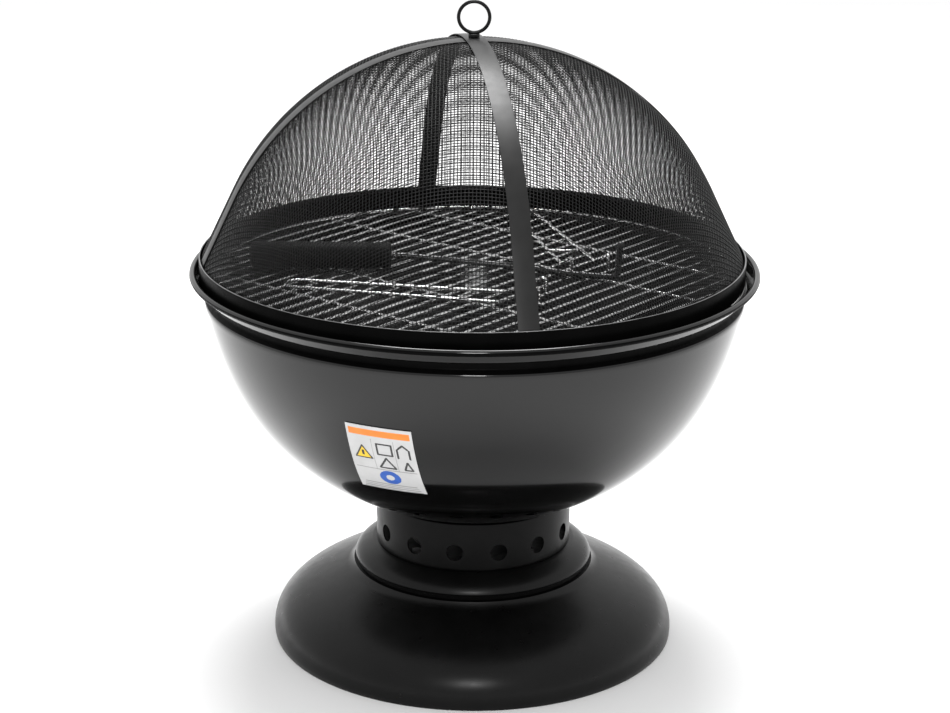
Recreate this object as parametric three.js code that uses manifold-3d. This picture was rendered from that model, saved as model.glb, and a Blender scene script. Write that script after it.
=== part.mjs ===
// Garden fire pit: a pressed bowl on a vented collar and a domed base, with a chromed cooking grate,
// a domed spark guard of woven mesh, a poker and two wire grate lifters lying on the grate.
// Millimetres, +Z up. The origin is on the floor under the middle of the base; -Y is the front.
import * as THREE from 'three';
import { mergeVertices } from 'three/addons/utils/BufferGeometryUtils.js';
import Module from 'manifold-3d';

// ---- Driving dimensions ----
const SHEET = 1.2; // pressed steel sheet of the base, collar and bowl
const GAP = 0.3; // between pieces that touch
const FACETS = 40; // around a full turn

const BASE_R = 207; // widest radius of the base
const BASE_TOP = 101.5; // flat seat for the collar
const BASE_RING_R = 122; // raised ring pressed round the seat

const COLLAR_R = 100;
const COLLAR_TOP = 151.8;
const VENT_COUNT = 14;
const VENT_R = 8.75;
const VENT_Z = 121;
const FIRST_VENT = -10.6; // degrees from the front

const BOLT_CIRCLE = 80;
const BOLT_R = 3;
const BOLT_COUNT = 4;
const AIR_HOLES = 8; // through the bowl's floor, inside the bolts
const AIR_HOLE_R = 5;
const AIR_CIRCLE = 38;

const BOWL_FLOOR = COLLAR_TOP + GAP; // underside of the bowl's flat floor
const SHOULDER = new THREE.Vector2(270.8, 363); // widest place of the bowl below its groove
const LEDGE_Z = 378.7; // inward ledge that carries the grate
const RIM_BEAD = new THREE.Vector2(281.75, 390.25); // centre of the rolled edge
const RIM_BEAD_R = 3.25;

const RING_R = 268; // grate ring, to the middle of its wire
const RING_WIRE = 3;
const RING_Z = LEDGE_Z + GAP + RING_WIRE;
const BAR_COUNT = 28;
const BAR_PITCH = 17.93;
const BAR_WIRE = 1.7;
const BAR_Z = RING_Z + 1;
const BAR_ANGLE = 51.5; // degrees from +X
const CROSS_WIRE = 1.9;
const CROSS_Z = BAR_Z - BAR_WIRE - CROSS_WIRE + 0.4; // sunk 0.4 into the bars, as welded
const CROSS_PLACES = [-160, -72, 72, 160];
const GRATE_TOP = BAR_Z + BAR_WIRE;

const BAND_FOOT = RING_Z + RING_WIRE + GAP; // the guard stands on the grate ring
const BAND_TOP = 406.8;
const BAND = 1.4; // thickness of the two bands
const BEND_Z = BAND_TOP - 2; // where the mesh leaves the bands and leans in
const DOME_R = 264; // to the middle of the mesh
const DOME_Z = 355; // centre of the dome's arc
const MESH = 0.8;
const SKIRT_R = 269.2; // the mesh where it stands between the bands
const STRAP = 0.9;
const STRAP_WIDTH = 20;
const STRAP_TURN = 11; // degrees that the crossed straps are turned from the axes
const GUARD_ASIDE = -2.3; // the guard stands this far off the middle of the grate ring, along X
const EYE_R = 15.15;
const EYE_WIRE = 1.75;

const LIFT_WIRE = 1.75;
const LIFT_CROSS_WIRE = 1.4;

const PAINTED = { color: 0x101011, roughness: 0.5, metalness: 0.4 };
const ENAMELLED = { color: 0x060607, roughness: 0.12, metalness: 0.5 };
const PRINTED = { color: 0xe8e8e6, roughness: 0.5, metalness: 0 };
const ZINC = { color: 0x8c8e90, roughness: 0.35, metalness: 0.9 };
const CHROME = { color: 0xd6d8da, roughness: 0.15, metalness: 1 };
const IRON = { color: 0x18181a, roughness: 0.45, metalness: 0.6 };
const RUBBER = { color: 0x0d0d0e, roughness: 0.7, metalness: 0 };

const wasm = await Module();
wasm.setup();
const group = new THREE.Group();

// ---- Helpers ----
const degrees = THREE.MathUtils.degToRad;
const point = (x, y) => new THREE.Vector2(x, y);

// A merged copy of a geometry as a solid that can be cut and joined.
function solid(geometry) {
  const bare = geometry.clone();
  bare.deleteAttribute('normal');
  bare.deleteAttribute('uv');
  const merged = mergeVertices(bare, 1e-4);
  const index = merged.index.array;
  const kept = [];
  for (let i = 0; i < index.length; i += 3) {
    const [a, b, c] = [index[i], index[i + 1], index[i + 2]];
    if (a !== b && b !== c && c !== a) kept.push(a, b, c);
  }
  return new wasm.Manifold(new wasm.Mesh({
    numProp: 3,
    vertProperties: new Float32Array(merged.attributes.position.array),
    triVerts: new Uint32Array(kept),
  }));
}

function geometryOf(made) {
  const mesh = made.getMesh();
  const geometry = new THREE.BufferGeometry();
  geometry.setAttribute('position', new THREE.BufferAttribute(mesh.vertProperties, 3));
  geometry.setIndex(new THREE.BufferAttribute(mesh.triVerts, 1));
  geometry.computeVertexNormals();
  return geometry;
}

const join = (parts) => geometryOf(parts.map(solid).reduce((all, next) => all.add(next)));
const cut = (body, tools) => geometryOf(
  tools.map(solid).reduce((left, tool) => left.subtract(tool), solid(body)));

function add(name, geometry, look) {
  const mesh = new THREE.Mesh(geometry, new THREE.MeshStandardMaterial(look));
  mesh.name = name;
  group.add(mesh);
  return mesh;
}

// A body of revolution about Z. The outline is (radius, height) points, counter-clockwise.
function turned(outline, facets = FACETS) {
  const area = THREE.ShapeUtils.area(outline);
  const points = area > 0 ? outline : [...outline].reverse();
  const first = points[0];
  const onAxis = first.x === 0 && points.at(-1).x === 0;
  const closed = onAxis ? points : [...points, first.clone()];
  return new THREE.LatheGeometry(closed, facets).rotateX(Math.PI / 2);
}

// The same line moved sideways by a distance, to the left of its direction, with mitred corners.
function offset(line, distance) {
  const normal = (from, to) => {
    const along = to.clone().sub(from).normalize();
    return point(-along.y, along.x);
  };
  return line.map((at, i) => {
    const before = i > 0 ? normal(line[i - 1], at) : normal(at, line[i + 1]);
    const after = i < line.length - 1 ? normal(at, line[i + 1]) : before;
    const middle = before.clone().add(after).normalize();
    return middle.clone().multiplyScalar(distance / Math.max(middle.dot(before), 0.5)).add(at);
  });
}

function arc(centre, radius, from, to, steps) {
  const points = [];
  for (let i = 0; i <= steps; i += 1) {
    const angle = degrees(from + ((to - from) * i) / steps);
    points.push(point(centre.x + radius * Math.cos(angle), centre.y + radius * Math.sin(angle)));
  }
  return points;
}

function bezier(a, b, c, d, steps) {
  return new THREE.CubicBezierCurve(a, b, c, d).getPoints(steps);
}

// A round bar between two heights on Z.
function rod(radius, low, high, sides = 16) {
  return new THREE.CylinderGeometry(radius, radius, high - low, sides)
    .rotateX(Math.PI / 2)
    .translate(0, 0, (low + high) / 2);
}

// A wire of round section along a path, with flat ends.
function wire(path, radius, steps, sides = 8) {
  const section = new THREE.Shape(around(sides).map(
    (angle) => point(radius * Math.cos(angle), radius * Math.sin(angle))));
  return new THREE.ExtrudeGeometry(section, {
    steps, curveSegments: 1, bevelEnabled: false, extrudePath: path,
  });
}

// A path of straight runs with rounded corners.
function bentPath(points, bend) {
  const path = new THREE.CurvePath();
  let from = points[0];
  for (let i = 1; i < points.length - 1; i += 1) {
    const corner = points[i];
    const back = points[i - 1].clone().sub(corner).setLength(bend).add(corner);
    const ahead = points[i + 1].clone().sub(corner).setLength(bend).add(corner);
    path.add(new THREE.LineCurve3(from, back));
    path.add(new THREE.QuadraticBezierCurve3(back, corner, ahead));
    from = ahead;
  }
  path.add(new THREE.LineCurve3(from, points.at(-1)));
  return path;
}

// Places evenly spaced on a circle, as angles.
const around = (count, first = 0) => Array.from({ length: count },
  (_, i) => degrees(first) + (i * Math.PI * 2) / count);

// ---- Base: one pressing with a raised ring round the collar's seat and a hem that stands flat ----
const skirt = bezier(point(BASE_R, 6), point(BASE_R, 41.6), point(170, 52.5),
  point(BASE_RING_R + 2.5, 81.5), 6);
const baseOutside = [
  point(BASE_R - 6, 0), point(BASE_R - 1.5, 0), point(BASE_R - 0.4, 1.5),
  ...skirt,
  point(BASE_RING_R - 1.5, 81.5),
  ...bezier(point(BASE_RING_R, 84), point(BASE_RING_R - 2, 92), point(112, 97),
    point(COLLAR_R + 3, BASE_TOP), 3),
  point(0, BASE_TOP),
];
const baseInside = [
  point(0, BASE_TOP - SHEET), point(COLLAR_R, BASE_TOP - SHEET),
  point(BASE_RING_R - 6, 90), point(BASE_RING_R - 3.2, 80),
  ...offset(skirt, SHEET).reverse().slice(1),
  point(BASE_R - 4, 4.5), point(BASE_R - 6, 3.5),
];
const boltHoles = around(BOLT_COUNT, 45).map((angle) => (low, high) => rod(BOLT_R + 0.4, low, high, 10)
  .translate(BOLT_CIRCLE * Math.cos(angle), BOLT_CIRCLE * Math.sin(angle), 0));
add('base_skirt', cut(turned([...baseInside, ...baseOutside]),
  boltHoles.map((hole) => hole(BASE_TOP - 5, BASE_TOP + 5))), PAINTED);

// ---- Collar: a drum with a ring of vent holes and a bolting flange turned in at each end ----
const COLLAR_FOOT = BASE_TOP + GAP;
const FLANGE_R = 64;
const drum = turned([
  point(FLANGE_R, COLLAR_FOOT), point(COLLAR_R, COLLAR_FOOT), point(COLLAR_R, COLLAR_TOP),
  point(FLANGE_R, COLLAR_TOP), point(FLANGE_R, COLLAR_TOP - SHEET),
  point(COLLAR_R - SHEET, COLLAR_TOP - SHEET), point(COLLAR_R - SHEET, COLLAR_FOOT + SHEET),
  point(FLANGE_R, COLLAR_FOOT + SHEET),
]);
const vents = around(VENT_COUNT, FIRST_VENT - 90).map((angle) => rod(VENT_R, 0, 30, 12)
  .rotateY(Math.PI / 2).translate(COLLAR_R - 15, 0, VENT_Z).rotateZ(angle));
add('vent_collar', cut(drum, [
  ...vents,
  ...boltHoles.map((hole) => hole(COLLAR_FOOT - 1, COLLAR_TOP + 1)),
]), PAINTED);

// ---- Bowl: one pressing with a flat floor, a groove whose inside is the grate's ledge, and a rolled rim
const bowlSide = new THREE.CubicBezierCurve(
  point(97, BOWL_FLOOR), point(209, 195), point(249, 265), SHOULDER);
const bowlWall = [
  point(0, BOWL_FLOOR),
  ...bowlSide.getPoints(8),
  point(SHOULDER.x - 0.4, SHOULDER.y + 2.6),
  point(SHOULDER.x - 4.6, SHOULDER.y + 7),
  point(SHOULDER.x - 4.6, LEDGE_Z - SHEET - 3),
  point(SHOULDER.x - 3, LEDGE_Z - SHEET),
  point(SHOULDER.x + 1.8, LEDGE_Z - SHEET),
  point(SHOULDER.x + 3.4, LEDGE_Z + 0.6),
  point(RIM_BEAD.x - RIM_BEAD_R + 1.6, RIM_BEAD.y - 2.6),
];
const bowlOutline = [
  ...bowlWall,
  ...arc(RIM_BEAD, RIM_BEAD_R, -100, 180, 6),
  ...offset(bowlWall, SHEET).reverse().slice(1),
];
bowlOutline.at(-1).x = 0;
const airHoles = around(AIR_HOLES).map((angle) => rod(AIR_HOLE_R, BOWL_FLOOR - 5, BOWL_FLOOR + 5, 8)
  .translate(AIR_CIRCLE * Math.cos(angle), AIR_CIRCLE * Math.sin(angle), 0));
add('bowl', cut(turned(bowlOutline), [
  ...airHoles,
  ...boltHoles.map((hole) => hole(BOWL_FLOOR - 5, BOWL_FLOOR + 5)),
]), ENAMELLED);

// ---- Label: a thin printed film that follows the bowl's curve, low on the front left ----
const LABEL = { width: 66, height: 90, film: 0.35, facing: -20.7, low: 181, turn: -1.1 };

// Each corner of the flat film goes to its distance up the bowl's outline from the floor's edge, and
// round the bowl from the way the label faces.
const film = new THREE.BoxGeometry(LABEL.width, LABEL.height, LABEL.film, 8, 10, 1);
film.rotateZ(degrees(LABEL.turn));
const corner = film.getAttribute('position');
for (let i = 0; i < corner.count; i += 1) {
  const up = (LABEL.low + corner.getY(i)) / bowlSide.getLength();
  const at = bowlSide.getPointAt(up);
  const along = bowlSide.getTangentAt(up);
  const out = 2 * GAP + LABEL.film / 2 + corner.getZ(i);
  const radius = at.x + along.y * out;
  const angle = degrees(LABEL.facing - 90) + corner.getX(i) / at.x;
  corner.setXYZ(i, radius * Math.cos(angle), radius * Math.sin(angle), at.y - along.x * out);
}
film.computeVertexNormals();
add('bowl_label', film, PRINTED);

// ---- Bolts: heads above the sheets, nuts below, at both ends of the collar ----
const HEAD_R = 5.8;
const HEAD_HEIGHT = 4;
const NUT_HEIGHT = 5;
const THREAD_OUT = 3;
const stacks = [
  { name: 'bowl', top: BOWL_FLOOR + SHEET, bottom: COLLAR_TOP - SHEET },
  { name: 'base', top: COLLAR_FOOT + SHEET, bottom: BASE_TOP - SHEET },
];
for (const { name, top, bottom } of stacks) {
  const nutTop = bottom - GAP;
  const shank = rod(BOLT_R, nutTop - NUT_HEIGHT - THREAD_OUT, top + GAP + 1, 10);
  const bolt = join([rod(HEAD_R, top + GAP, top + GAP + HEAD_HEIGHT, 6), shank]);
  const nut = cut(rod(HEAD_R, nutTop - NUT_HEIGHT, nutTop, 6),
    [rod(BOLT_R + GAP, nutTop - NUT_HEIGHT - 1, nutTop + 1, 10)]);
  around(BOLT_COUNT, 45).forEach((angle, i) => {
    for (const [piece, shape] of [['bolt', bolt], ['nut', nut]]) {
      const mesh = add(`${name}_${piece}_${i + 1}`, shape, ZINC);
      mesh.position.set(BOLT_CIRCLE * Math.cos(angle), BOLT_CIRCLE * Math.sin(angle), 0);
    }
  });
}

// ---- Grate: parallel bars on four cross-bars inside a ring, all welded into one piece ----
// A bar across the ring at a distance from its middle, running along X, out to `reach` from the middle.
function chord(aside, radius, height, reach) {
  const half = Math.sqrt(reach ** 2 - aside ** 2);
  return rod(radius, -half, half, 6).rotateY(Math.PI / 2).translate(0, aside, height);
}
const ring = turned(arc(point(RING_R, RING_Z), RING_WIRE, 0, 315, 7));
const bars = Array.from({ length: BAR_COUNT },
  (_, i) => chord((i - (BAR_COUNT - 1) / 2) * BAR_PITCH, BAR_WIRE, BAR_Z, RING_R - 1));
const crossBars = CROSS_PLACES.map(
  (aside) => chord(aside, CROSS_WIRE, CROSS_Z, RING_R - RING_WIRE + 0.1).rotateZ(Math.PI / 2));
const grate = add('cooking_grate', join([ring, ...crossBars, ...bars]), CHROME);
grate.rotation.z = degrees(BAR_ANGLE);

// ---- Spark guard: a woven dome held between two bands, with two crossed straps ----
function addGuard(name, geometry, look, turn = 0) {
  const mesh = add(name, geometry, look);
  mesh.position.x = GUARD_ASIDE;
  mesh.rotation.z = degrees(turn);
}

// The dome's outline from its foot to the crown: upright between the bands, a straight flare, then an
// arc that the flare meets at a tangent. `out` moves it outwards, `lift` raises the crown.
function domeLine(out, lift, steps) {
  const foot = point(SKIRT_R + out, BAND_FOOT + 2);
  const bend = point(SKIRT_R + out, BEND_Z);
  const centre = point(0, DOME_Z + lift);
  const reach = bend.clone().sub(centre);
  const tangent = Math.atan2(reach.y, reach.x) + Math.acos((DOME_R + out) / reach.length());
  return [foot, bend,
    ...arc(centre, DOME_R + out, THREE.MathUtils.radToDeg(tangent), 90, steps)];
}
const crownHole = rod(BOLT_R + 0.4, DOME_Z + DOME_R - 10, DOME_Z + DOME_R + 10, 10);
const meshShell = turned([
  ...domeLine(MESH / 2, 0, 9), ...domeLine(-MESH / 2, 0, 9).reverse(),
]);
addGuard('guard_mesh', cut(meshShell, [crownHole]), IRON);
const band = (inner, top, facets) => turned([
  point(inner, BAND_FOOT), point(inner + BAND, BAND_FOOT), point(inner + BAND, top), point(inner, top),
], facets);
addGuard('guard_inner_band', band(SKIRT_R - MESH / 2 - GAP - BAND, BEND_Z - 0.8, FACETS), IRON);

// A strap over the dome, as the strip between two dome lines, pushed out to the strap's width.
function strap(lift) {
  const inner = MESH / 2 + GAP;
  const under = domeLine(inner, lift, 12);
  const over = domeLine(inner + STRAP, lift, 12);
  const mirrored = (line) => line.map((at) => point(-at.x, at.y)).reverse().slice(1);
  const outline = [...over, ...mirrored(over), ...[...under, ...mirrored(under)].reverse()];
  const strip = new THREE.ExtrudeGeometry(new THREE.Shape(outline),
    { depth: STRAP_WIDTH, bevelEnabled: false, curveSegments: 1 });
  return strip.translate(0, 0, -STRAP_WIDTH / 2).rotateX(Math.PI / 2);
}
const STRAP_LIFT = STRAP + 2 * GAP + 0.2; // the upper strap's arc clears the lower strap's edges
[['strap_front_back', 90 + STRAP_TURN, STRAP_LIFT], ['strap_left_right', STRAP_TURN, 0]].forEach(
  ([name, turn, lift]) => addGuard(name, cut(strap(lift), [crownHole]), IRON, turn));
const BAND_IN = SKIRT_R + MESH / 2 + GAP + STRAP + 2 * GAP;
addGuard('guard_outer_band', band(BAND_IN, BAND_TOP, 2 * FACETS), IRON);

// ---- Crown: an eye bolt through the straps and mesh, with a washer and a nut inside ----
const CROWN_TOP = DOME_Z + DOME_R + MESH / 2 + GAP + STRAP + STRAP_LIFT + GAP;
const CROWN_BOTTOM = DOME_Z + DOME_R - MESH / 2 - 1; // clear of the arc at the washer's edge
const EYE_COLLAR = 3.6; // height of the turned collar under the ring
const EYE_COLLAR_R = 5.6;
const STUD_DOWN = 11; // how far the stud hangs below the washer's top
const WASHER_R = 10;
const WASHER = 1.6;
const eyeRing = turned(arc(point(EYE_R, 0), EYE_WIRE, 0, 315, 7), 24)
  .rotateX(Math.PI / 2)
  .translate(0, 0, CROWN_TOP + EYE_COLLAR + EYE_R + EYE_WIRE - 0.8);
addGuard('eye_bolt', join([
  eyeRing,
  rod(EYE_COLLAR_R, CROWN_TOP, CROWN_TOP + EYE_COLLAR, 16),
  rod(BOLT_R, CROWN_BOTTOM - STUD_DOWN, CROWN_TOP + 1, 10),
]), IRON);
const studHole = rod(BOLT_R + GAP, CROWN_BOTTOM - 20, CROWN_BOTTOM + 5, 10);
const crownWasher = cut(rod(WASHER_R, CROWN_BOTTOM - WASHER, CROWN_BOTTOM, 20), [studHole]);
addGuard('crown_washer', crownWasher, ZINC);
const nutTop = CROWN_BOTTOM - WASHER - GAP - 0.1;
const crownNut = cut(rod(HEAD_R, nutTop - NUT_HEIGHT, nutTop, 6), [studHole]);
addGuard('crown_nut', crownNut, ZINC);

// ---- Poker: a round grip on a bent rod whose end turns up in a hook ----
const GRIP_R = 13.5;
const GRIP_LENGTH = 142;
const GRIP_PLACE = new THREE.Vector3(-84, 11, GRATE_TOP + GAP + GRIP_R);
const ROD_R = 3.2;
const ROD_IN_GRIP = 60;
const HOOK_TOP = 424;
const onGrate = GRATE_TOP + GAP + ROD_R;
const place = (x, y, z) => new THREE.Vector3(x, y, z);
const pokerPath = bentPath([
  GRIP_PLACE.clone().setX(GRIP_PLACE.x - ROD_IN_GRIP), GRIP_PLACE.clone().setX(GRIP_PLACE.x + 12),
  place(48, 2, onGrate + 2), place(100, -18, onGrate), place(142, -28, onGrate),
  place(143.5, -28, HOOK_TOP),
], 8);
add('poker_rod', wire(pokerPath, ROD_R, 32), IRON);
const gripOutline = [
  point(0, -GRIP_LENGTH), ...arc(point(GRIP_R - 5, 5 - GRIP_LENGTH), 5, -90, 0, 3),
  ...arc(point(GRIP_R - 3, -3), 3, 0, 90, 3), point(0, 0),
];
const grip = turned(gripOutline, 20).rotateY(Math.PI / 2).translate(...GRIP_PLACE.toArray());
const socket = rod(ROD_R + GAP, -ROD_IN_GRIP - GAP, 5, 10).rotateY(Math.PI / 2)
  .translate(...GRIP_PLACE.toArray());
add('poker_grip', cut(grip, [socket]), RUBBER);

// ---- Grate lifters: a long tapered wire loop whose two ends ramp up and drop as hooks ----
const LIFTER_LENGTH = 256;
const LIFTER_END = 12.5; // half-width at the rounded end
const LIFTER_HOOKS = 19; // half-width at the hooks
const RAMP = 40;
const HOOK_RISE = 17.5;
function lifterPath() {
  const path = new THREE.CurvePath();
  const z = GRATE_TOP + GAP + LIFT_WIRE;
  const start = LIFTER_LENGTH - RAMP;
  const side = (sign) => [
    place(LIFTER_LENGTH, sign * LIFTER_HOOKS, z), place(LIFTER_LENGTH, sign * LIFTER_HOOKS, z + HOOK_RISE),
    place(start, sign * (LIFTER_HOOKS - 1), z), place(LIFTER_END, sign * LIFTER_END, z),
  ];
  const half = bentPath(side(1), 5);
  half.curves.forEach((curve) => path.add(curve));
  path.add(new THREE.CubicBezierCurve3(place(LIFTER_END, LIFTER_END, z),
    place(-LIFTER_END / 3, LIFTER_END, z), place(-LIFTER_END / 3, -LIFTER_END, z),
    place(LIFTER_END, -LIFTER_END, z)));
  bentPath(side(-1).reverse(), 5).curves.forEach((curve) => path.add(curve));
  return path;
}
const lifterLoop = wire(lifterPath(), LIFT_WIRE, 64, 6);
const CROSS_PLACE = LIFTER_LENGTH - 74; // the crosspiece's distance from the rounded end
const crossZ = GRATE_TOP + 2 * GAP + 2 * LIFT_WIRE + LIFT_CROSS_WIRE;
const lifterCross = wire(new THREE.CatmullRomCurve3([
  place(CROSS_PLACE - 4, LIFTER_HOOKS, crossZ), place(CROSS_PLACE + 3, 0, crossZ),
  place(CROSS_PLACE - 4, -LIFTER_HOOKS, crossZ),
]), LIFT_CROSS_WIRE, 8, 6);
[['lifter_front', -186, -50, -11.5], ['lifter_rear', 49, 242, -75]].forEach(([name, x, y, turn]) => {
  for (const [piece, shape] of [['loop', lifterLoop], ['crosspiece', lifterCross]]) {
    const mesh = add(`${name}_${piece}`, shape, CHROME);
    mesh.position.set(x, y, 0);
    mesh.rotation.z = degrees(turn);
  }
});

export default group;
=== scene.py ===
import math

import bpy
import numpy as np
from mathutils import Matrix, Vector


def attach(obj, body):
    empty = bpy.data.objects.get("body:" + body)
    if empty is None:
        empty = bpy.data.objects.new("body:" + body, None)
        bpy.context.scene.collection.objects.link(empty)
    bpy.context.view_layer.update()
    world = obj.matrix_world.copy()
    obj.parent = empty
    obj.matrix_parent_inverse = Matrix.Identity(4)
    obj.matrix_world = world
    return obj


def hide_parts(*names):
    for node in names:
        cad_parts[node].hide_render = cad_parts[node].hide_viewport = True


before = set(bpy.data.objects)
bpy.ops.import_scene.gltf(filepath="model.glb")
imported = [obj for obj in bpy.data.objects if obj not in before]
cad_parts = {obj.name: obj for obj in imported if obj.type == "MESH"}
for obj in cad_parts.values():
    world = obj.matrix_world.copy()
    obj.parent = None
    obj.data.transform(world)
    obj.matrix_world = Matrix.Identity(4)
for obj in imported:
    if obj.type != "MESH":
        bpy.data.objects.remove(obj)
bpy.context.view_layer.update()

MM = 0.001

# ---- Driving dimensions ----
SHEET = 1.2
GAP = 0.3
TURNS = 240  # facets round a pressing
SHARP = 38  # edges that turn by more degrees than this stay sharp

BASE_R = 207
BASE_TOP = 101.5
BASE_RING_R = 122

COLLAR_R = 100
COLLAR_FOOT = BASE_TOP + GAP
COLLAR_TOP = 151.8
FLANGE_R = 64
VENT_COUNT = 14
VENT_R = 8.75
VENT_Z = 121
FIRST_VENT = -10.6  # degrees from the front to one of the holes

BOLT_CIRCLE = 80  # radius
BOLT_HOLE_R = 3.4
BOLT_COUNT = 4
AIR_HOLES = 8
AIR_HOLE_R = 5
AIR_CIRCLE = 38  # radius

BOWL_FLOOR = COLLAR_TOP + GAP
SHOULDER = (270.8, 363)  # radius and height of the widest place below the groove
LEDGE_Z = 378.7  # the ledge that carries the grate
RIM_BEAD = (281.75, 390.25)  # radius and height of the rolled edge's middle
RIM_BEAD_R = 3.25

RING_R = 268
RING_WIRE = 3
RING_Z = LEDGE_Z + GAP + RING_WIRE
BAR_COUNT = 28
BAR_PITCH = 17.93
BAR_WIRE = 1.7
BAR_Z = RING_Z + 1
BAR_ANGLE = 51.5  # degrees from X
CROSS_WIRE = 1.9
CROSS_Z = BAR_Z - BAR_WIRE - CROSS_WIRE + 0.4
CROSS_PLACES = (-160, -72, 72, 160)
GRATE_TOP = BAR_Z + BAR_WIRE

BAND_FOOT = RING_Z + RING_WIRE + GAP
BAND_TOP = 406.8
BAND = 1.4
BEND_Z = BAND_TOP - 2
DOME_R = 264
DOME_Z = 355
MESH_DEPTH = 0.8
SKIRT_R = 269.2
GUARD_ASIDE = -2.3  # the guard stands this far off the middle of the grate ring, along X
MESH_PITCH = 3.5
MESH_WIRE_R = 0.42
MESH_SWAY = 0.26  # how far a woven wire leaves the dome, to each side
STRAP = 0.9
STRAP_WIDTH = 20
STRAP_TURN = 11  # degrees
STRAP_LIFT = STRAP + 2 * GAP + 0.2  # how far the upper strap rises over the lower one
EYE_R = 15.15
EYE_WIRE = 1.75
EYE_COLLAR = 3.6
EYE_COLLAR_R = 5.6
CROWN_TOP = DOME_Z + DOME_R + MESH_DEPTH / 2 + GAP + STRAP + STRAP_LIFT + GAP
STUD_R = 3
STUD_FOOT = 606

GRIP_R = 13.5
GRIP_LENGTH = 142
GRIP_END = (-84, 11, GRATE_TOP + GAP + GRIP_R)
ROD_R = 3.2
ROD_IN_GRIP = 60
ROD_Z = GRATE_TOP + GAP + ROD_R
HOOK_TOP = 424

LIFT_WIRE = 1.75
LIFT_CROSS_WIRE = 1.4
LIFTER_LENGTH = 256
LIFTER_END = 12.5  # half-width at the rounded end
LIFTER_HOOKS = 19  # half-width at the hooks
CROSS_PLACE = LIFTER_LENGTH - 74  # the crosspiece's distance from the rounded end
RAMP = 40  # length of the slope up to each hook
HOOK_RISE = 17.5
# Each lifter's body, the X and Y of its rounded end, and its turn in degrees.
LIFTERS = (("lifter_front", -186, -50, -11.5), ("lifter_rear", 49, 242, -75))

LABEL_WIDTH = 66
LABEL_HEIGHT = 90
LABEL_FILM = 0.35
LABEL_FACING = -20.7  # degrees from the front
LABEL_LOW = 181  # up the bowl's outline from the floor's edge to the label's middle
LABEL_TURN = -1.1

# Metres, degrees and millimetres of lens.
CAMERA_AT = (0.0008, -2.318, 1.051)
CAMERA_PITCH = 18.05
CAMERA_ROLL = 0.4
CAMERA_LENS = 90.95


# ---- Shapes: each returns (points in mm, [arrays of faces]) ----
def turned(outline, closed=True, steps=TURNS):
    """A body of revolution about Z. The outline is (radius, height) points with the material on its
    left. It closes on itself, or has a flat disc at each end."""
    outline = np.asarray(outline, float)
    angles = np.arange(steps) * 2 * math.pi / steps
    radius, height = outline[:, :1], outline[:, 1:]
    points = np.stack([radius * np.cos(angles), radius * np.sin(angles), height + 0 * angles], -1)
    rings = np.arange(len(outline) * steps).reshape(len(outline), steps)
    below = rings if closed else rings[:-1]
    above = np.roll(rings, -1, 0) if closed else rings[1:]
    quads = np.stack([below, np.roll(below, -1, 1), np.roll(above, -1, 1), above], -1)
    faces = [quads.reshape(-1, 4)]
    if not closed:
        faces += [rings[:1, ::-1], rings[-1:]]
    return points.reshape(-1, 3), faces


def tube(path, radius, sides=12, closed=False):
    """A round wire along a path. Its ends are flat unless the path closes on itself."""
    path = np.asarray(path, float)
    if closed:
        along = np.roll(path, -1, 0) - np.roll(path, 1, 0)
    else:
        along = np.gradient(path, axis=0)
    along /= np.linalg.norm(along, axis=1)[:, None]
    sideways = np.empty_like(path)
    carried = np.cross(along[0], (0.3, 0.1, 1))
    for i, direction in enumerate(along):
        carried = carried - direction * (carried @ direction)
        carried = carried / np.linalg.norm(carried)
        sideways[i] = carried
    return skin(path, along, sideways, radius, sides, closed)


def skin(path, along, sideways, radius, sides, closed=False):
    """The round wire itself, from its path, the directions along it and one direction across it."""
    across = np.cross(along, sideways)
    angles = np.arange(sides) * 2 * math.pi / sides
    spread = np.broadcast_to(np.asarray(radius, float), len(path))[:, None, None]
    circle = (sideways[:, None] * np.cos(angles)[:, None] + across[:, None] * np.sin(angles)[:, None])
    points = path[:, None] + spread * circle
    rings = np.arange(len(path) * sides).reshape(len(path), sides)
    below = rings if closed else rings[:-1]
    above = np.roll(rings, -1, 0) if closed else rings[1:]
    quads = np.stack([below, np.roll(below, -1, 1), np.roll(above, -1, 1), above], -1)
    faces = [quads.reshape(-1, 4)]
    if not closed:
        faces += [rings[:1, ::-1], rings[-1:]]
    return points.reshape(-1, 3), faces


def rounded_rod(path, radius, sides=16, end=0.6):
    """A wire whose two ends are rounded off over a share of its radius."""
    path = np.asarray(path, float)
    first = path[0] - path[1]
    last = path[-1] - path[-2]
    first /= np.linalg.norm(first)
    last /= np.linalg.norm(last)
    turns = np.radians([0, 25, 50, 72])
    start = [path[0] + first * radius * end * math.sin(t) for t in turns[::-1]]
    finish = [path[-1] + last * radius * end * math.sin(t) for t in turns]
    radii = [radius * (1 - end + end * math.cos(t)) for t in turns]
    whole = np.array([*start, *path[1:-1], *finish])
    return tube_of(whole, [*radii[::-1], *[radius] * (len(path) - 2), *radii], sides)


def tube_of(path, radii, sides):
    """A wire with a radius of its own at each point."""
    points, faces = tube(path, 1, sides)
    centres = np.repeat(np.asarray(path, float), sides, axis=0)
    spread = np.repeat(np.asarray(radii, float), sides)[:, None]
    return centres + (points - centres) * spread, faces


def moved(part, turn=0, shift=(0, 0, 0)):
    """A part turned about Z, in degrees, and then shifted."""
    points, faces = part
    c, s = math.cos(math.radians(turn)), math.sin(math.radians(turn))
    turned_points = points @ np.array([[c, s, 0], [-s, c, 0], [0, 0, 1]])
    return turned_points + np.asarray(shift, float), faces


def laid_along_x(part, at):
    """A part turned about Z laid down so that its axis points along +X, and put at a place."""
    points, faces = part
    return points[:, [2, 0, 1]] + np.asarray(at, float), faces


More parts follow.
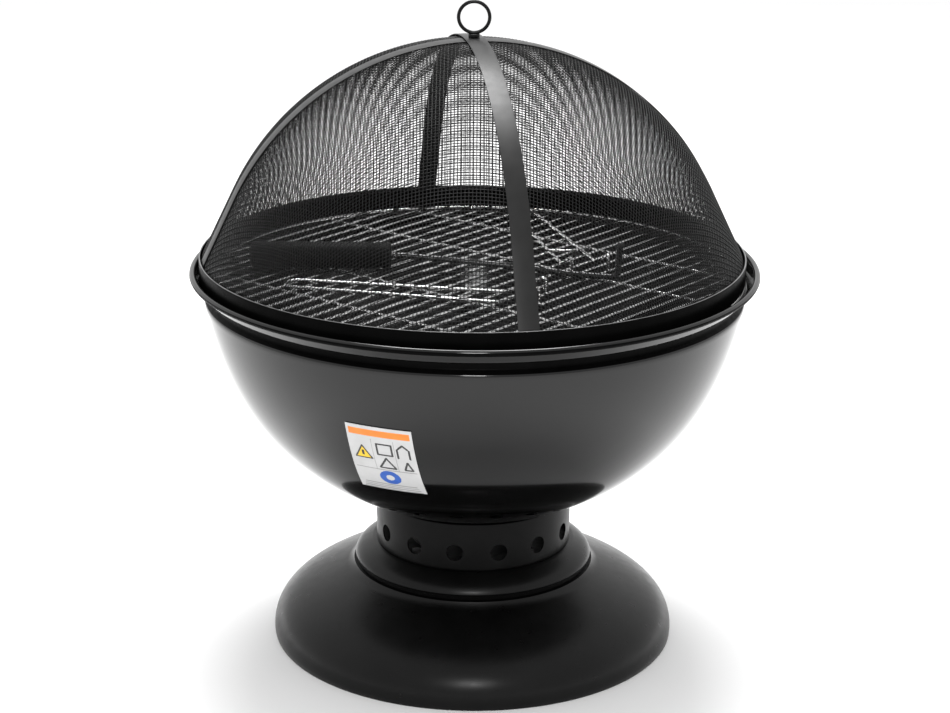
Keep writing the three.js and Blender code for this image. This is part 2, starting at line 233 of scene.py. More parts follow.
# ---- Lines ----
def bezier(a, b, c, d, steps):
    t = np.linspace(0, 1, steps + 1)[:, None]
    a, b, c, d = (np.asarray(p, float) for p in (a, b, c, d))
    return (1 - t) ** 3 * a + 3 * (1 - t) ** 2 * t * b + 3 * (1 - t) * t ** 2 * c + t ** 3 * d


def arc(centre, radius, start, stop, steps):
    angles = np.radians(np.linspace(start, stop, steps + 1))
    return np.stack([centre[0] + radius * np.cos(angles), centre[1] + radius * np.sin(angles)], -1)


def softened(corners, bend, closed=False, steps=5):
    """A line of straight runs with its corners rounded off, in two or three dimensions."""
    corners = [np.asarray(p, float) for p in corners]
    count = len(corners)
    line = [] if closed else [corners[0]]
    for i in range(0 if closed else 1, count if closed else count - 1):
        corner = corners[i]
        back = corners[i - 1] - corner
        ahead = corners[(i + 1) % count] - corner
        reach = min(bend, 0.45 * np.linalg.norm(back), 0.45 * np.linalg.norm(ahead))
        start = corner + back / np.linalg.norm(back) * reach
        stop = corner + ahead / np.linalg.norm(ahead) * reach
        for t in np.linspace(0, 1, steps + 1):
            line.append((1 - t) ** 2 * start + 2 * t * (1 - t) * corner + t * t * stop)
    if not closed:
        line.append(corners[-1])
    return np.array(line)


def offset(line, distance):
    """The same line moved to the left of its direction, with mitred corners."""
    line = np.asarray(line, float)
    runs = np.diff(line, axis=0)
    runs /= np.linalg.norm(runs, axis=1)[:, None]
    left = np.stack([-runs[:, 1], runs[:, 0]], -1)
    before = np.vstack([left[:1], left])
    after = np.vstack([left, left[-1:]])
    middle = before + after
    middle /= np.linalg.norm(middle, axis=1)[:, None]
    mitre = np.maximum((middle * before).sum(1), 0.5)
    return line + middle * (distance / mitre)[:, None]


def around(count, first=0):
    return [first + i * 360 / count for i in range(count)]


def on_circle(radius, degrees):
    return radius * math.cos(math.radians(degrees)), radius * math.sin(math.radians(degrees))


# ---- Pieces ----
def build(name, parts, sharp=SHARP):
    """One mesh object from several parts, smooth but for edges sharper than an angle."""
    points, corners, sizes = [], [], []
    first = 0
    for part_points, groups in parts:
        points.append(part_points)
        for group in groups:
            corners.append((np.asarray(group) + first).ravel())
            sizes.append(np.full(len(group), np.shape(group)[1]))
        first += len(part_points)
    corners = np.concatenate(corners).astype(np.int32)
    sizes = np.concatenate(sizes)
    mesh = bpy.data.meshes.new(name)
    mesh.vertices.add(first)
    mesh.vertices.foreach_set("co", (np.concatenate(points) * MM).astype(np.float32).ravel())
    mesh.loops.add(len(corners))
    mesh.loops.foreach_set("vertex_index", corners)
    mesh.polygons.add(len(sizes))
    mesh.polygons.foreach_set("loop_start", (np.cumsum(sizes) - sizes).astype(np.int32))
    mesh.polygons.foreach_set("use_smooth", np.ones(len(sizes), bool))
    mesh.update(calc_edges=True)
    mesh.validate()
    mesh.set_sharp_from_angle(angle=math.radians(sharp))
    piece = bpy.data.objects.new(name, mesh)
    bpy.context.scene.collection.objects.link(piece)
    return piece


def drill(piece, cutters):
    """Cuts closed parts out of a piece."""
    tool = build(piece.name + "_tool", cutters)
    cut = piece.modifiers.new("cut", "BOOLEAN")
    cut.operation = "DIFFERENCE"
    cut.solver = "EXACT"
    cut.object = tool
    graph = bpy.context.evaluated_depsgraph_get()
    mesh = bpy.data.meshes.new_from_object(piece.evaluated_get(graph))
    piece.modifiers.clear()
    piece.data = mesh
    mesh.set_sharp_from_angle(angle=math.radians(SHARP))
    bpy.data.objects.remove(tool)


def upright(radius, low, high, steps=32):
    """A round bar about Z, which cuts a hole."""
    return turned([(radius, low), (radius, high)], closed=False, steps=steps)


def place(piece, material, slot, body, node):
    """Gives a piece its material and its body, and hides the CAD node it stands for. The slot it is given is
    not used.
    """
    piece.data.materials.clear()
    piece.data.materials.append(material)
    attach(piece, body)
    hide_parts(node)
    return piece


def paint_shade_and_highlight(piece, material, radii, heights, facing=-1.0):
    """Gives a second material to the faces between two radii and two heights, in mm, that face up enough. It
    paints shade into recesses and a highlight onto an edge.
    """
    mesh = piece.data
    centres = np.empty(len(mesh.polygons) * 3)
    normals = np.empty(len(mesh.polygons) * 3)
    mesh.polygons.foreach_get("center", centres)
    mesh.polygons.foreach_get("normal", normals)
    centres = centres.reshape(-1, 3) / MM
    radius = np.hypot(centres[:, 0], centres[:, 1])
    height = centres[:, 2]
    chosen = (radii[0] < radius) & (radius < radii[1]) & (heights[0] < height) & (height < heights[1])
    chosen &= normals[2::3] >= facing
    if material.name not in mesh.materials:
        mesh.materials.append(material)
    coats = np.empty(len(chosen), np.int32)
    mesh.polygons.foreach_get("material_index", coats)
    coats[chosen] = mesh.materials.find(material.name)
    mesh.polygons.foreach_set("material_index", coats)


# ---- Materials ----
def surface(name, dark, light, rough, metallic=0.0, patch=60.0, grain=900.0, bump=0.1, level=0.5):
    """A material whose colour drifts between two tones in soft patches, with a fine-grained relief and
    a roughness that varies between two values."""
    material = bpy.data.materials.new(name)
    material.use_nodes = True
    nodes, links = material.node_tree.nodes, material.node_tree.links
    shader = nodes["Principled BSDF"]
    where = nodes.new("ShaderNodeTexCoord")

    def noise(scale, detail):
        made = nodes.new("ShaderNodeTexNoise")
        made.inputs["Scale"].default_value = scale
        made.inputs["Detail"].default_value = detail
        links.new(where.outputs["Object"], made.inputs["Vector"])
        return made.outputs["Fac"]

    def ranged(value, low, high):
        made = nodes.new("ShaderNodeMapRange")
        made.inputs["From Min"].default_value = 0.3
        made.inputs["From Max"].default_value = 0.7
        made.inputs["To Min"].default_value = low
        made.inputs["To Max"].default_value = high
        links.new(value, made.inputs["Value"])
        return made.outputs["Result"]

    patches = noise(patch, 4)
    tones = nodes.new("ShaderNodeValToRGB")
    tones.color_ramp.elements[0].position = 0.3
    tones.color_ramp.elements[0].color = (*dark, 1)
    tones.color_ramp.elements[1].position = 0.7
    tones.color_ramp.elements[1].color = (*light, 1)
    links.new(patches, tones.inputs["Fac"])
    links.new(tones.outputs["Color"], shader.inputs["Base Color"])
    links.new(ranged(noise(patch * 3, 6), *rough), shader.inputs["Roughness"])
    relief = nodes.new("ShaderNodeBump")
    relief.inputs["Strength"].default_value = bump
    relief.inputs["Distance"].default_value = 0.0002
    links.new(noise(grain, 2), relief.inputs["Height"])
    links.new(relief.outputs["Normal"], shader.inputs["Normal"])
    shader.inputs["Metallic"].default_value = metallic
    shader.inputs["Specular IOR Level"].default_value = level
    return material


def grey(value):
    """A linear colour without hue."""
    return (value, value, value)


ENAMEL = surface("gloss_enamel", grey(0.001), grey(0.002), (0.07, 0.11), patch=14, grain=260, bump=0.03,
                 level=0.42)
PAINT = surface("satin_paint", grey(0.0015), grey(0.003), (0.27, 0.34), patch=30, grain=1100, bump=0.12,
                level=0.2)
COLLAR_PAINT = surface("collar_paint", grey(0.0015), grey(0.003), (0.3, 0.38), patch=30, grain=1100,
                       bump=0.12, level=0.09)
BAND_PAINT = surface("band_paint", grey(0.0012), grey(0.0022), (0.3, 0.4), patch=30, grain=1100, bump=0.12,
                     level=0.02)
# Painted shade: a near-black, barely glossy coat put on recesses and on the underside of edges, where shadow
# falls.
SHADE_PAINT = surface("painted_shade", grey(0.0006), grey(0.0014), (0.3, 0.5), patch=60, grain=1100,
                       bump=0.1, level=0.03)
# Painted highlight: a light grey, glossy coat put on the guard band's top edge, where the lamps light it.
HIGHLIGHT_PAINT = surface("painted_edge_highlight", grey(0.05), grey(0.12), (0.25, 0.35), patch=60, grain=1100,
                     bump=0.1, level=0.9)
STRAP_PAINT = surface("strap_paint", grey(0.006), grey(0.01), (0.34, 0.42), patch=40, grain=1500,
                      bump=0.15, level=0.3)
WIRE_PAINT = surface("wire_paint", grey(0.002), grey(0.005), (0.35, 0.5), patch=90, grain=1800, bump=0.2,
                     level=0.2)
CHROME = surface("bright_chrome", grey(0.76), grey(0.9), (0.08, 0.18), metallic=1.0, patch=120,
                 grain=700, bump=0.08)
ZINC = surface("zinc_plate", grey(0.42), grey(0.55), (0.28, 0.42), metallic=1.0, patch=160, grain=900,
               bump=0.15)
STEEL = surface("dark_steel", grey(0.006), grey(0.014), (0.14, 0.22), patch=80, grain=900, bump=0.1,
                level=0.8)
RUBBER = surface("grip_rubber", grey(0.002), grey(0.004), (0.5, 0.62), patch=120, grain=420, bump=0.45,
                 level=0.12)
FILM = surface("label_white", grey(0.5), grey(0.58), (0.3, 0.4), patch=50, grain=600, bump=0.05)
INKS = [
    surface("label_orange", (0.75, 0.2, 0.02), (0.82, 0.25, 0.03), (0.3, 0.4), patch=70, bump=0.05),
    surface("label_yellow", (0.8, 0.52, 0.02), (0.86, 0.58, 0.04), (0.3, 0.4), patch=70, bump=0.05),
    surface("label_blue", (0.02, 0.09, 0.4), (0.03, 0.12, 0.48), (0.3, 0.4), patch=70, bump=0.05),
    surface("label_ink", grey(0.02), grey(0.035), (0.3, 0.4), patch=70, bump=0.05),
    surface("label_text", grey(0.22), grey(0.3), (0.3, 0.4), patch=70, bump=0.05),
]

# ---- Base ----
HOLE_LOW, HOLE_HIGH = 85, 165  # reaches through base, collar and bowl
BOLT_HOLES = [
    moved(upright(BOLT_HOLE_R, HOLE_LOW, HOLE_HIGH, 24), shift=(*on_circle(BOLT_CIRCLE, angle), 0))
    for angle in around(BOLT_COUNT, 45)
]
cove_foot = (BASE_RING_R + 9, 72)
step_foot = (BASE_RING_R + 1.4, 78.6)
step_top = (BASE_RING_R, 85.6)
step_r = BASE_RING_R - 1.6
flare = bezier((BASE_R, 6), (BASE_R, 41.6), (168, 56), cove_foot, 60)
cove = bezier(cove_foot, (BASE_RING_R + 6, 73.2), (BASE_RING_R + 3, 76), step_foot, 16)
base_side = np.vstack([flare, cove[1:]])
base_ring = bezier(step_top, (BASE_RING_R - 2, 92.5), (112, 97), (COLLAR_R + 3, BASE_TOP), 16)
base_under = bezier((COLLAR_R, BASE_TOP - SHEET), (110, 96), (BASE_RING_R - 4, 91), (BASE_RING_R - 3, 84), 12)
base_outline = [
    (COLLAR_R - 30, BASE_TOP - SHEET),
    *base_under,
    (BASE_RING_R - 2.9, 78.2),
    *offset(base_side, SHEET)[::-1],
    (BASE_R - 4, 4.5),
    (BASE_R - 6, 3.5),
    (BASE_R - 6, 0),
    (BASE_R - 1.5, 0),
    (BASE_R - 0.4, 1.5),
    *base_side,
    (step_r, 79.6),
    (step_r, 84.2),
    *base_ring,
    (COLLAR_R - 30, BASE_TOP),
]
base = build("base_pressing", [turned(base_outline, closed=False)])
drill(base, BOLT_HOLES)
place(base, PAINT, "base_paint", "root", "base_skirt")
# Painted shade: the step under the base's ring is coloured near black as a shadow line.
paint_shade_and_highlight(base, SHADE_PAINT, (step_r - 0.4, step_foot[0] - 0.1), (step_foot[1] - 0.1, step_top[1] - 0.1))

# ---- Collar ----
collar_outline = softened([
    (FLANGE_R, COLLAR_FOOT), (COLLAR_R, COLLAR_FOOT), (COLLAR_R, COLLAR_TOP), (FLANGE_R, COLLAR_TOP),
    (FLANGE_R, COLLAR_TOP - SHEET), (COLLAR_R - SHEET, COLLAR_TOP - SHEET),
    (COLLAR_R - SHEET, COLLAR_FOOT + SHEET), (FLANGE_R, COLLAR_FOOT + SHEET),
], 1.2, closed=True, steps=3)
vent_points, vent_faces = upright(VENT_R, 60, 120, 40)
vent = (vent_points[:, [2, 0, 1]] + np.array([0, 0, VENT_Z]), vent_faces)
VENTS = [moved(vent, angle) for angle in around(VENT_COUNT, FIRST_VENT - 90)]
collar = build("collar_drum", [turned(collar_outline)])
drill(collar, VENTS + BOLT_HOLES)
place(collar, COLLAR_PAINT, "base_paint", "root", "vent_collar")
# Painted shade: the inside of the collar and of its vents, seen through the vents, is coloured near black.
paint_shade_and_highlight(collar, SHADE_PAINT, (0, COLLAR_R - 0.3), (COLLAR_FOOT + 1, COLLAR_TOP - 1))

# ---- Bowl ----
bowl_side = bezier((97, BOWL_FLOOR), (209, 195), (249, 265), SHOULDER, 90)
groove = softened([
    bowl_side[-1],
    (SHOULDER[0] - 0.4, SHOULDER[1] + 2.6),
    (SHOULDER[0] - 4.6, SHOULDER[1] + 7),
    (SHOULDER[0] - 4.6, LEDGE_Z - SHEET - 3),
    (SHOULDER[0] - 3, LEDGE_Z - SHEET),
    (SHOULDER[0] + 1.8, LEDGE_Z - SHEET),
    (SHOULDER[0] + 3.4, LEDGE_Z + 0.6),
    (RIM_BEAD[0] - RIM_BEAD_R + 1.6, RIM_BEAD[1] - 2.6),
], 1.4)
bowl_wall = [*bowl_side, *groove[1:]]
bowl_outline = [
    *bowl_wall,
    *arc(RIM_BEAD, RIM_BEAD_R, -100, 180, 28),
    *offset(bowl_wall, SHEET)[::-1],
]
bowl = build("bowl_pressing", [turned(bowl_outline, closed=False)])
drill(bowl, BOLT_HOLES + [
    moved(upright(AIR_HOLE_R, 140, 165), shift=(*on_circle(AIR_CIRCLE, angle), 0))
    for angle in around(AIR_HOLES)
])
place(bowl, ENAMEL, "bowl_enamel", "root", "bowl")
# Painted shade: the groove under the grate's ledge and the underside of the rolled rim are coloured near
# black.
paint_shade_and_highlight(bowl, SHADE_PAINT, (SHOULDER[0] - 5, SHOULDER[0] - 0.6), (SHOULDER[1] + 2.7, LEDGE_Z - SHEET - 0.4))
paint_shade_and_highlight(bowl, SHADE_PAINT, (RIM_BEAD[0], RIM_BEAD[0] + 4), (RIM_BEAD[1] - 3.3, RIM_BEAD[1] + 0.9))


# ---- Label: a printed film that follows the bowl ----
def near(u, v, path, width):
    """Whether a place lies on a printed line. Places are in shares of the label and the width in mm."""
    for (u0, v0), (u1, v1) in zip(path, path[1:]):
        run_u, run_v = (u1 - u0) * LABEL_WIDTH, (v1 - v0) * LABEL_HEIGHT
        to_u, to_v = (u - u0) * LABEL_WIDTH, (v - v0) * LABEL_HEIGHT
        share = min(1, max(0, (to_u * run_u + to_v * run_v) / (run_u ** 2 + run_v ** 2)))
        if math.hypot(to_u - run_u * share, to_v - run_v * share) < width / 2:
            return True
    return False


# The print's layout, in shares of the label's width and height, and radii in mm.
HEADER_U, HEADER_V = (0.035, 0.965), (0.87, 0.955)
SIGN_U, SIGN_FOOT, SIGN_TOP = 0.21, 0.54, 0.72
SIGN_FEET = [(SIGN_U - 0.13, SIGN_FOOT), (SIGN_U + 0.13, SIGN_FOOT)]
SIGN = [*SIGN_FEET, (SIGN_U, SIGN_TOP), SIGN_FEET[0]]
SHAPES = [
    [(0.44, 0.62), (0.66, 0.62), (0.66, 0.77), (0.44, 0.77), (0.44, 0.62)],
    [(0.74, 0.6), (0.74, 0.72), (0.83, 0.79), (0.92, 0.72), (0.92, 0.6)],
    [(0.43, 0.42), (0.55, 0.57), (0.67, 0.42), (0.43, 0.42)],
    [(0.8, 0.42), (0.86, 0.54), (0.92, 0.42), (0.8, 0.42)],
]
FRAMES = [[(0.37, 0.38), (0.37, 0.83)], [(0.7, 0.38), (0.7, 0.83)], [(0.04, 0.38), (0.96, 0.38)]]
DISC_U, DISC_V, DISC_R, DISC_HOLE_R = 0.53, 0.25, 10.5, 4.2
LINES_TOP, LINES_PER_LABEL = 0.145, 27
BARE, ORANGE, YELLOW, BLUE, BLACK, GREY = -1, 0, 1, 2, 3, 4  # places in INKS


def label_ink(u, v):
    """Which ink a place on the label has. u and v go from 0 to 1, and v goes up the label."""
    if HEADER_V[0] < v < HEADER_V[1] and HEADER_U[0] < u < HEADER_U[1]:
        return ORANGE
    if near(u, v, SIGN, 1.6):
        return BLACK
    if SIGN_FOOT < v < SIGN_TOP and abs(u - SIGN_U) < (SIGN_TOP - v) * 0.72:
        bar = abs(u - SIGN_U) < 0.02 and 0.58 < v < 0.65
        return BLACK if bar else YELLOW
    if any(near(u, v, shape, 2.0) for shape in SHAPES):
        return BLACK
    from_disc = math.hypot((u - DISC_U) * LABEL_WIDTH, (v - DISC_V) * LABEL_HEIGHT)
    if from_disc < DISC_R:
        return BARE if from_disc < DISC_HOLE_R else BLUE
    if any(near(u, v, line, 0.6) for line in FRAMES):
        return GREY
    if v < LINES_TOP and 0.05 + v * 0.4 < u < 0.95 - v * 0.5 and (v * LINES_PER_LABEL) % 1 < 0.42:
        return GREY
    return BARE


lengths = np.concatenate([[0], np.cumsum(np.linalg.norm(np.diff(bowl_side, axis=0), axis=1))])
LABEL_COLUMNS = 132
LABEL_ROWS = 184
film_u, film_v = np.meshgrid(np.linspace(0, 1, LABEL_COLUMNS + 1), np.linspace(0, 1, LABEL_ROWS + 1))
flat = np.stack([(film_u - 0.5) * LABEL_WIDTH, (film_v - 0.5) * LABEL_HEIGHT], -1).reshape(-1, 2)
lean = math.radians(LABEL_TURN)
flat = flat @ np.array([[math.cos(lean), math.sin(lean)], [-math.sin(lean), math.cos(lean)]])
up = LABEL_LOW + flat[:, 1]
film_r = np.interp(up, lengths, bowl_side[:, 0])
film_z = np.interp(up, lengths, bowl_side[:, 1])
slope_r = np.interp(up + 1, lengths, bowl_side[:, 0]) - film_r
slope_z = np.interp(up + 1, lengths, bowl_side[:, 1]) - film_z
facing = math.radians(LABEL_FACING - 90) + flat[:, 0] / film_r


def film_layer(out):
    """The label's grid of points, moved out from the bowl."""
    radius = film_r + slope_z * out
    return np.stack([radius * np.cos(facing), radius * np.sin(facing), film_z - slope_r * out], -1)


grid = np.arange(len(flat)).reshape(LABEL_ROWS + 1, LABEL_COLUMNS + 1)
front = np.stack([grid[:-1, :-1], grid[:-1, 1:], grid[1:, 1:], grid[1:, :-1]], -1).reshape(-1, 4)
edge = np.concatenate([grid[0, :-1], grid[:-1, -1], grid[-1, :0:-1], grid[:0:-1, 0]])
rim = np.stack([edge + len(flat), np.roll(edge, -1) + len(flat), np.roll(edge, -1), edge], -1)
film_points = np.vstack([film_layer(2 * GAP + LABEL_FILM), film_layer(2 * GAP)])
label = build("printed_label", [(film_points, [front, front[:, ::-1] + len(flat), rim])])
place(label, FILM, "label_film", "root", "bowl_label")
for ink in INKS:
    label.data.materials.append(ink)
cells = np.zeros(len(label.data.polygons), np.int32)
for row in range(LABEL_ROWS):
    for column in range(LABEL_COLUMNS):
        cell = label_ink((column + 0.5) / LABEL_COLUMNS, (row + 0.5) / LABEL_ROWS)
        cells[row * LABEL_COLUMNS + column] = cell + 1
label.data.polygons.foreach_set("material_index", cells)

# ---- Grate ----
ring_path = [(*on_circle(RING_R, angle), RING_Z) for angle in around(240)]
grate_parts = [tube(ring_path, RING_WIRE, 20, closed=True)]


def chord(aside, radius, height, reach, turn):
    """A straight wire across the grate that ends on a circle."""
    half = math.sqrt(reach ** 2 - aside ** 2)
    stations = np.linspace(-half, half, 12)
    return moved(rounded_rod([(x, aside, height) for x in stations], radius), turn)


for i in range(BAR_COUNT):
    aside = (i - (BAR_COUNT - 1) / 2) * BAR_PITCH
    grate_parts.append(chord(aside, BAR_WIRE, BAR_Z, RING_R - 1, BAR_ANGLE))
for aside in CROSS_PLACES:
    reach = RING_R - RING_WIRE + 0.1
    grate_parts.append(chord(aside, CROSS_WIRE, CROSS_Z, reach, BAR_ANGLE + 90))
grate = build("grate_wires", grate_parts)
place(grate, CHROME, "grate_chrome", "grate", "cooking_grate")

# ---- Spark guard ----
def guard_piece(name, parts, material, slot, node, sharp=SHARP):
    """A piece of the guard, built round the guard's own axis and moved to where the guard stands."""
    piece = build(name, [moved(part, shift=(GUARD_ASIDE, 0, 0)) for part in parts], sharp)
    return place(piece, material, slot, "guard", node)


REACH = math.hypot(SKIRT_R, BEND_Z - DOME_Z)
TANGENT = math.atan2(BEND_Z - DOME_Z, SKIRT_R) + math.acos(DOME_R / REACH)
ARC_LENGTH = DOME_R * (math.pi / 2 - TANGENT)
FLARE_LENGTH = math.sqrt(REACH ** 2 - DOME_R ** 2)
FOOT_LENGTH = BEND_Z - BAND_FOOT - 2
DOME_LENGTH = ARC_LENGTH + FLARE_LENGTH + FOOT_LENGTH


def dome_place(distance, out=0.0):
    """Radius and height of the dome at a distance down its outline from the crown, moved out."""
    distance = np.asarray(distance, float)
    angle = math.pi / 2 - np.clip(distance, 0, ARC_LENGTH) / DOME_R
    down_flare = np.clip(distance - ARC_LENGTH, 0, FLARE_LENGTH)
    down_foot = np.clip(distance - ARC_LENGTH - FLARE_LENGTH, 0, FOOT_LENGTH)
    normal_r = np.where(down_foot > 0, 1, np.cos(angle))
    normal_z = np.where(down_foot > 0, 0, np.sin(angle))
    radius = DOME_R * np.cos(angle) + down_flare * math.sin(TANGENT) + normal_r * out
    height = DOME_Z + DOME_R * np.sin(angle) - down_flare * math.cos(TANGENT) - down_foot
    return radius, height + normal_z * out


def woven_net(count, step):
    """A square net of equal steps laid over a unit dome from its crown, for one quarter, as points
    that are each one step from both neighbours. The other quarters are its mirror images."""
    net = np.full((count, count, 3), np.nan)
    for i in range(count):
        net[i, 0] = (math.sin(i * step), 0, math.cos(i * step))
        net[0, i] = (0, math.sin(i * step), math.cos(i * step))
    for i in range(1, count):
        for j in range(1, count):
            a, b = net[i - 1, j], net[i, j - 1]
            both = 1 + a @ b
            if not both > 0 or min(a[2], b[2]) < -0.15:
                continue
            middle = (a + b) * math.cos(step) / both
            across = np.cross(a, b)
            rise = 1 - middle @ middle
            if rise < 0:
                continue
            across *= math.sqrt(rise) / np.linalg.norm(across)
            net[i, j] = max(middle + across, middle - across, key=lambda p: -p @ net[i - 1, j - 1])
    return net


NET_COUNT = int(DOME_LENGTH / MESH_PITCH) + 2
quarter = woven_net(NET_COUNT, MESH_PITCH / DOME_R)
index = np.arange(1 - NET_COUNT, NET_COUNT)
net = quarter[np.abs(index)[:, None], np.abs(index)]
net[..., 0] *= np.where(index < 0, -1, 1)[:, None]
net[..., 1] *= np.where(index < 0, -1, 1)[None, :]


def woven_wire(line, starts_out):
    """The runs of one wire, given its line on the unit dome. It passes over and under by turns."""
    down = np.arccos(np.clip(line[:, 2], -1, 1)) * DOME_R
    sway = np.where((np.arange(len(line)) + starts_out) % 2 == 0, MESH_SWAY, -MESH_SWAY)
    kept = (down < DOME_LENGTH) & (down > STUD_R + 1) & np.isfinite(down)
    radius, height = dome_place(np.nan_to_num(down), sway)
    inner_r, inner_z = dome_place(np.nan_to_num(down), sway - 1)
    flat_length = np.hypot(line[:, 0], line[:, 1])
    flat_length[flat_length == 0] = 1
    heading = line[:, :2] / flat_length[:, None]
    points = np.column_stack([heading * radius[:, None], height])
    normals = np.column_stack([heading * (radius - inner_r)[:, None], height - inner_z])
    edges = np.flatnonzero(np.diff(np.concatenate([[0], kept.astype(int), [0]])))
    runs = []
    for start, stop in zip(edges[::2], edges[1::2]):
        if stop - start < 3:
            continue
        path = points[start:stop]
        along = np.gradient(path, axis=0)
        along /= np.linalg.norm(along, axis=1)[:, None]
        sideways = np.cross(along, normals[start:stop])
        sideways /= np.linalg.norm(sideways, axis=1)[:, None]
        runs.append(skin(path, along, sideways, MESH_WIRE_R, 6))
    return runs


MESH_GROUPS = 6
for direction, lines in (("x", net.transpose(1, 0, 2)), ("y", net)):
    over = 0 if direction == "x" else 1
    wires = [woven_wire(line, over + i) for i, line in enumerate(lines)]
    for group in range(MESH_GROUPS):
        chosen = [wire for i, wire in enumerate(wires) if i * MESH_GROUPS // len(wires) == group]
        part = [run for wire in chosen for run in wire]
        guard_piece(f"mesh_wires_{direction}_{group + 1}", part, WIRE_PAINT, "mesh_wire", "guard_mesh", 80)


def ring_band(inner, top):
    return turned(softened([
        (inner, BAND_FOOT), (inner + BAND, BAND_FOOT), (inner + BAND, top), (inner, top),
    ], 0.6, closed=True, steps=4))


INNER_BAND_R = SKIRT_R - MESH_DEPTH / 2 - GAP - BAND
OUTER_BAND_R = SKIRT_R + MESH_DEPTH / 2 + GAP + STRAP + 2 * GAP
guard_piece("inner_band", [ring_band(INNER_BAND_R, BEND_Z - 0.8)],
            BAND_PAINT, "guard_paint", "guard_inner_band")
outer_band = guard_piece("outer_band", [ring_band(OUTER_BAND_R, BAND_TOP)],
                         BAND_PAINT, "guard_paint", "guard_outer_band")
# Painted highlight: the band's top edge, where it faces up, is coloured light grey.
paint_shade_and_highlight(outer_band, HIGHLIGHT_PAINT, (0, 300), (BAND_TOP - 1, BAND_TOP + 1), 0.5)


def strap_part(lift):
    """A strap over the dome in the XZ plane, as a rounded flat section carried along the dome."""
    distance = np.concatenate([
        np.linspace(0, ARC_LENGTH, 60), np.linspace(ARC_LENGTH, DOME_LENGTH, 30)[1:],
    ])
    inner = MESH_DEPTH / 2 + GAP
    section = softened([(-STRAP_WIDTH / 2, inner), (STRAP_WIDTH / 2, inner),
                        (STRAP_WIDTH / 2, inner + STRAP), (-STRAP_WIDTH / 2, inner + STRAP)],
                       0.4, closed=True, steps=3)
    rise = lift * np.clip(1 - distance / ARC_LENGTH, 0, 1) ** 0.5
    half = []
    for across, out in section:
        radius, height = dome_place(distance, out)
        half.append(np.column_stack([radius, np.full(len(radius), across), height + rise]))
    half = np.array(half).transpose(1, 0, 2)
    mirrored = half[:0:-1] * np.array([-1, 1, 1])
    stations = np.concatenate([mirrored, half])
    count, sides = stations.shape[:2]
    rings = np.arange(count * sides).reshape(count, sides)
    quads = np.stack([rings[:-1], rings[1:], np.roll(rings[1:], -1, 1), np.roll(rings[:-1], -1, 1)], -1)
    return stations.reshape(-1, 3), [quads.reshape(-1, 4), rings[:1], rings[-1:, ::-1]]


for name, node, turn, lift in (
    ("upper_strap", "strap_front_back", 90 + STRAP_TURN, STRAP_LIFT),
    ("lower_strap", "strap_left_right", STRAP_TURN, 0),
):
    guard_piece(name, [moved(strap_part(lift), turn)], STRAP_PAINT, "guard_paint", node)

# ---- Crown ----
eye_z = CROWN_TOP + EYE_COLLAR + EYE_R + EYE_WIRE - 0.8
eye_path = [(x, 0, z + eye_z) for x, z in (on_circle(EYE_R, angle) for angle in around(72))]
eye_foot = softened([
    (STUD_R, STUD_FOOT), (STUD_R, CROWN_TOP), (EYE_COLLAR_R, CROWN_TOP),
    (EYE_COLLAR_R, CROWN_TOP + EYE_COLLAR), (2, CROWN_TOP + EYE_COLLAR),
], 0.7)
guard_piece("crown_eye", [tube(eye_path, EYE_WIRE, 16, closed=True), turned(eye_foot, False, 40)],
            PAINT, "guard_paint", "eye_bolt")

# ---- Poker ----
poker_path = softened([
    (GRIP_END[0] - ROD_IN_GRIP, *GRIP_END[1:]), (GRIP_END[0] + 12, *GRIP_END[1:]),
    (48, 2, ROD_Z + 2), (100, -18, ROD_Z), (142, -28, ROD_Z), (143.5, -28, HOOK_TOP - 2),
], 8, steps=8)
poker = build("poker_bar", [rounded_rod(poker_path, ROD_R, 20)])
place(poker, STEEL, "poker_steel", "poker", "poker_rod")


def grip_groove(place):
    """A shallow groove round the grip at a distance from its rod end."""
    return arc((GRIP_R + 1.2, -place), 2.4, 240, 120, 8)


grip_outline = [
    (2, -GRIP_LENGTH), *arc((GRIP_R - 5, 5 - GRIP_LENGTH), 5, -90, 0, 10),
    *[point for place in (122, 22, 16, 10) for point in grip_groove(place)],
    *arc((GRIP_R - 3, -3), 3, 0, 90, 8), (ROD_R + GAP, 0), (ROD_R + GAP, -ROD_IN_GRIP),
]
grip = build("poker_handle", [laid_along_x(turned(grip_outline, closed=False, steps=64), GRIP_END)])
place(grip, RUBBER, "grip_plastic", "poker", "poker_grip")


# ---- Grate lifters ----
def lifter_line():
    z = GRATE_TOP + GAP + LIFT_WIRE
    start = LIFTER_LENGTH - RAMP

    def side(sign):
        return softened([
            (LIFTER_LENGTH, sign * LIFTER_HOOKS, z), (LIFTER_LENGTH, sign * LIFTER_HOOKS, z + HOOK_RISE),
            (start, sign * (LIFTER_HOOKS - 1), z), (LIFTER_END, sign * LIFTER_END, z),
        ], 5, steps=6)
    end = bezier((LIFTER_END, LIFTER_END, z), (-LIFTER_END / 3, LIFTER_END, z),
                 (-LIFTER_END / 3, -LIFTER_END, z), (LIFTER_END, -LIFTER_END, z), 20)
    return [*side(1), *end[1:-1], *side(-1)[::-1]]


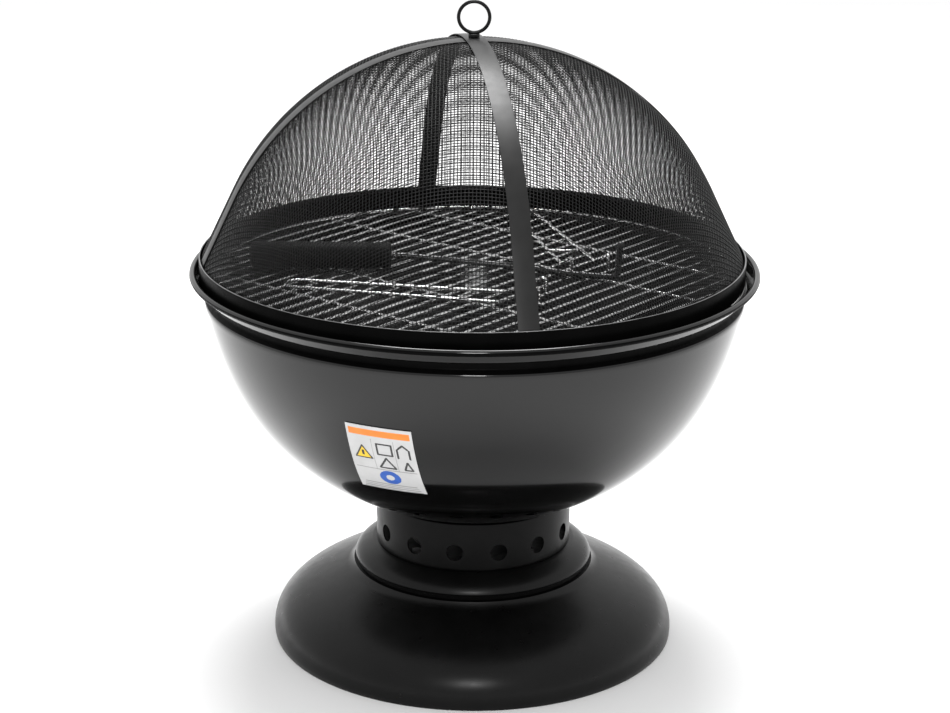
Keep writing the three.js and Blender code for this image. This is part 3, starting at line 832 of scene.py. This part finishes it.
cross_z = GRATE_TOP + 2 * GAP + 2 * LIFT_WIRE + LIFT_CROSS_WIRE
cross_line = bezier(
    (CROSS_PLACE - 4, LIFTER_HOOKS, cross_z), (CROSS_PLACE + 5, LIFTER_HOOKS / 3, cross_z),
    (CROSS_PLACE + 5, -LIFTER_HOOKS / 3, cross_z), (CROSS_PLACE - 4, -LIFTER_HOOKS, cross_z), 12,
)
for name, x, y, turn in LIFTERS:
    both = (("loop", lifter_line(), LIFT_WIRE), ("crosspiece", cross_line, LIFT_CROSS_WIRE))
    for part, line, wire in both:
        piece = build(f"{name}_{part}_wire", [moved(rounded_rod(line, wire, 14), turn, (x, y, 0))])
        place(piece, CHROME, "grate_chrome", name, f"{name}_{part}")

# ---- Fasteners stay as CAD nodes ----
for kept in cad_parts.values():
    if not kept.hide_render:
        kept.data.materials.clear()
        kept.data.materials.append(ZINC)

# ---- Floor, light and camera ----
FLOOR_HALF = 9000
corners = np.array([(-1, -1, 0), (1, -1, 0), (1, 1, 0), (-1, 1, 0)]) * float(FLOOR_HALF)
floor = build("floor", [(corners, [np.array([[0, 1, 2, 3]])])])
floor.data.materials.append(surface("pale_floor", grey(0.9), grey(0.93), (0.8, 0.9), patch=0.6, bump=0.0,
                                    level=0.1))

SKY_FRONT, SKY_BACK = 0.8, 1.05  # brightness of the studio in front of the object and behind it

world = bpy.data.worlds.new("studio")
bpy.context.scene.world = world
world.use_nodes = True
backdrop = world.node_tree.nodes["Background"]
towards = world.node_tree.nodes.new("ShaderNodeTexCoord")
split = world.node_tree.nodes.new("ShaderNodeSeparateXYZ")
fade = world.node_tree.nodes.new("ShaderNodeMapRange")
fade.interpolation_type = "SMOOTHSTEP"
fade.inputs["From Min"].default_value = -0.9
fade.inputs["From Max"].default_value = 0.3
fade.inputs["To Min"].default_value = SKY_FRONT
fade.inputs["To Max"].default_value = SKY_BACK
world.node_tree.links.new(towards.outputs["Generated"], split.inputs["Vector"])
world.node_tree.links.new(split.outputs["Y"], fade.inputs["Value"])
world.node_tree.links.new(fade.outputs["Result"], backdrop.inputs["Strength"])
backdrop.inputs["Color"].default_value = (1, 1, 1, 1)


def lamp(name, at, target, size, power):
    """A square area light that faces a target, with places and size in metres and power in watts."""
    light = bpy.data.lights.new(name, "AREA")
    light.shape = "SQUARE"
    light.size = size
    light.energy = power
    made = bpy.data.objects.new(name, light)
    bpy.context.scene.collection.objects.link(made)
    made.location = at
    made.rotation_euler = Vector(np.subtract(target, at)).to_track_quat("-Z", "Y").to_euler()


lamp("overhead", (0, 0.75, 2.6), (0, 0.1, 0.4), 1.3, 85)
lamp("front", (0, -2.9, 1.76), (0, -0.2, 0.2), 0.5, 24)

camera = bpy.data.objects.new("camera", bpy.data.cameras.new("camera"))
camera.data.lens = CAMERA_LENS
camera.data.sensor_width = 36
camera.location = CAMERA_AT
camera.rotation_euler = (math.radians(90 - CAMERA_PITCH), 0, 0)
camera.rotation_euler.rotate_axis("Z", math.radians(CAMERA_ROLL))
bpy.context.scene.collection.objects.link(camera)
bpy.context.scene.camera = camera
bpy.context.scene.view_settings.view_transform = "Standard"
